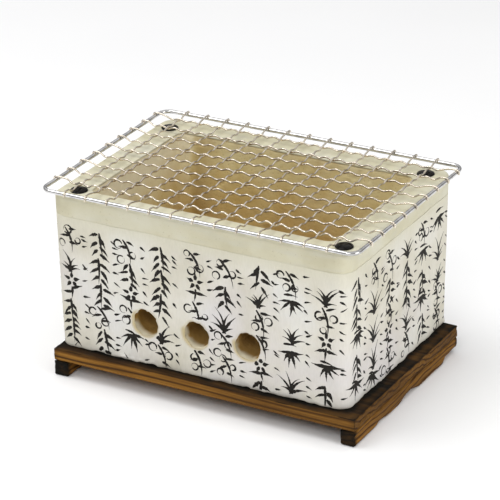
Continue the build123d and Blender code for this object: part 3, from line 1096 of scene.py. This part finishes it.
def weathered_block(name, node, along, edge, wear, end_char, seed, material):
    """A scorched, brushed piece of wood in place of a CAD block.

    along is the axis of its grain, edge the rounding of its edges, wear how chipped they
    are and end_char how black its ends are.
    """
    low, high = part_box(node)
    points, faces = block_mesh(low, high, BLOCK_STEPS, edge)
    points, way = rounded(points, low, high, edge)
    stretch = np.array([3 * MM, 3 * MM, 1.3 * MM])
    stretch[along] = 45 * MM
    grooves = 0.14 * noise(points, stretch, seed) + 0.09 * noise(points, stretch / 2, seed + 1)
    second_largest = np.sort(np.abs(way), axis=1)[:, 1]
    at_edge = smooth_step(second_largest, 0.05, 0.5)
    bites = smooth_step(rough(points, 8 * MM, seed + 2), 0.1, 0.8) * wear
    chips = 0.3 * wear * np.abs(noise(points, 3 * MM, seed + 3))
    place = points[:, along]
    from_end = np.minimum(place - low[along], high[along] - place)
    at_end = 1 - smooth_step(from_end, 0.3 * MM, 6 * MM)
    inward = 0.24 - grooves + at_edge * (bites + chips) * (1 + at_end)
    if node != "left_cleat":
        right_side = smooth_step(way[:, 0], 0.2, 0.8)
        furrows = rough(points, (9 * MM, 22 * MM, 2.2 * MM), seed + 6)
        inward = inward + right_side * 1.1 * smooth_step(furrows, -0.2, 0.7)
    points = points - way * np.maximum(inward, 0.02)[:, None] * MM
    if node == "right_cleat":
        points = points + worn_foot(points, low, high, seed)
    piece = new_piece(name, points, faces, "stand", material, [node])
    blotches = smooth_step(noise(points, 9 * MM, seed + 4), 0.0, 0.7)
    char_and_shade = at_end * end_char + 0.4 * at_edge * blotches
    if node == "base_board":
        char_and_shade = char_and_shade + board_char_and_shade(points, way, seed)
    store(piece.data, "char_and_shade", char_and_shade)


def worn_foot(points, low, high, seed):
    """Moves that wear away a block's lower right edge in long waves."""
    from_edge = np.hypot(high[0] - points[:, 0], points[:, 2] - low[2])
    near = 1 - smooth_step(from_edge, 0, 5 * MM)
    lift = 2.2 * MM * near * smooth_step(noise(points, 22 * MM, seed + 7), -0.15, 0.5)
    return lift[:, None] * (-1, 0, 1)


def board_char_and_shade(points, way, seed):
    """How black the board's top is: charring all over, and blackest against the firebox, there
    partly charring and partly painted contact shadow.
    """
    top = smooth_step(way[:, 2], 0.3, 0.8)
    over_x = np.abs(points[:, 0] - BODY_CENTRE.x) - HALF_X
    over_y = np.abs(points[:, 1] - BODY_CENTRE.y) - HALF_Y
    away = np.hypot(np.maximum(over_x, 0), np.maximum(over_y, 0))
    # painted contact shadow as well as charring: blacker within 7 mm of the firebox
    against = 1 - smooth_step(away, 0, 7 * MM)
    streaks = 0.15 * noise(points, (40 * MM, 3 * MM, 3 * MM), seed + 5)
    return top * (0.62 + streaks + 0.4 * against)


# piece, CAD node, axis of the grain, edge rounding, wear, blackness of its ends, seed
BLOCKS = (
    ("board", "base_board", 0, 1.0 * MM, 0.8, 0.3, 71),
    ("cleat_left", "left_cleat", 1, 1.2 * MM, 1.8, 1.15, 81),
    ("cleat_right", "right_cleat", 1, 1.2 * MM, 2.2, 1.15, 91),
)


def make_stand():
    woods = (wood_material("board_wood", 0), wood_material("cleat_wood", 1))
    for name, node, along, edge, wear, end_char, seed in BLOCKS:
        weathered_block(name, node, along, edge, wear, end_char, seed, woods[along])


# ---- CAD nodes that stay


def dress(nodes, material):
    for name in nodes:
        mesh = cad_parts[name].data
        mesh.materials.clear()
        mesh.materials.append(material)


def dress_metal():
    frame_steel = net_material("frame_steel", linear(222, 221, 220), 0.1, 0.2)
    weave_steel = net_material("weave_steel", linear(232, 222, 206), 0.14, 0.28)
    dress(["net_frame"], frame_steel)
    dress([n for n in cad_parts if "_wire_" in n], weave_steel)
    dress(["charcoal_grate"], grate_material())
    dress(["cleat_nails"], nail_material())


# ---- studio

AZIMUTH, ELEVATION, ROLL = 29.277, 24.355, -0.964  # degrees
DISTANCE = 1.75457
LENS, SENSOR = 189.3, 36  # millimetres
AIM = Vector((-0.0005, 0.000775, 0.071875))
ASIDE, ABOVE = -2.79 * MM, 7.56 * MM  # the view's centre from there, in the picture's plane
# place, what it points at, width, height, power in watts
SOFTBOXES = {
    "key": ((-0.6, -0.25, 1.4), (0, 0, 0.1), 0.9, 0.9, 8),
    "front": ((0.35, -1.3, 1.15), (0, 0, 0.08), 0.9, 0.6, 7),
    "side": ((1.6, -0.1, 0.62), (0, 0, 0.1), 0.8, 0.5, 8),
    "spark": ((-0.9, -0.1, 1.1), (0, 0, 0.12), 0.12, 0.12, 0.6),
}
# height and colour
SKY = (
    (0.0, (0.13, 0.13, 0.14, 1)),
    (0.2, (0.2, 0.2, 0.21, 1)),
    (0.45, (0.75, 0.75, 0.76, 1)),
    (0.8, (1, 1, 1, 1)),
)
SKY_STRENGTH = 0.8
FLOOR_HALF = 12.0


def make_camera():
    azimuth, elevation, roll = (math.radians(a) for a in (AZIMUTH, ELEVATION, ROLL))
    flat = math.cos(elevation)
    back = Vector((math.sin(azimuth) * flat, -math.cos(azimuth) * flat, math.sin(elevation)))
    level = Vector((math.cos(azimuth), math.sin(azimuth), 0))
    upright = back.cross(level)
    right = math.cos(roll) * level + math.sin(roll) * upright
    up = -math.sin(roll) * level + math.cos(roll) * upright
    data = bpy.data.cameras.new("camera")
    data.lens = LENS
    data.sensor_width = SENSOR
    data.clip_start, data.clip_end = 0.05, 20
    camera = new_object("camera", data)
    turn = Matrix((right, up, back)).transposed().to_4x4()
    spot = AIM + back * DISTANCE + right * ASIDE + up * ABOVE
    camera.matrix_world = Matrix.Translation(spot) @ turn
    bpy.context.scene.camera = camera


def softbox(name, place, target, width, height, power):
    data = bpy.data.lights.new(name, "AREA")
    data.shape = "RECTANGLE"
    data.size, data.size_y = width, height
    data.energy = power
    light = new_object(name, data)
    light.location = place
    ray = Vector(target) - Vector(place)
    light.rotation_euler = ray.to_track_quat("-Z", "Y").to_euler()


def make_sky():
    """Plain soft surroundings: bright overhead, darker low down, so that metal shows its form."""
    world = bpy.data.worlds.new("studio")
    world.use_nodes = True
    nodes, links = world.node_tree.nodes, world.node_tree.links
    place = nodes.new("ShaderNodeTexCoord")
    axes = nodes.new("ShaderNodeSeparateXYZ")
    links.new(place.outputs["Generated"], axes.inputs["Vector"])
    ramp = nodes.new("ShaderNodeValToRGB")
    links.new(axes.outputs["Z"], ramp.inputs["Fac"])
    set_stops(ramp.color_ramp, SKY)
    background = nodes["Background"]
    links.new(ramp.outputs["Color"], background.inputs["Color"])
    background.inputs["Strength"].default_value = SKY_STRENGTH
    bpy.context.scene.world = world


def make_studio():
    make_sky()
    for name, settings in SOFTBOXES.items():
        softbox(name, *settings)
    mesh = bpy.data.meshes.new("floor")
    corners = [(x * FLOOR_HALF, y * FLOOR_HALF, 0) for x, y in ((-1, -1), (1, -1), (1, 1), (-1, 1))]
    mesh.from_pydata(corners, [], [(0, 1, 2, 3)])
    floor = new_object("floor", mesh)
    shader = Shader("floor_sweep", Roughness=0.9, Specular_IOR_Level=0.1)
    faint = shader.cloud(3, 2)
    shader.colour(shader.ramp(faint, (0.3, (0.93, 0.93, 0.93, 1)), (0.7, (0.96, 0.96, 0.96, 1))))
    mesh.materials.append(shader.material)
    scene = bpy.context.scene
    scene.view_settings.view_transform = "Standard"
    scene.view_settings.look = "None"


make_camera()
make_studio()
paper_rows, paper_ways = make_paper()
make_ink(PaperMap(paper_rows, paper_ways))
make_coat()
make_casting()
make_studs()
make_stand()
dress_metal()
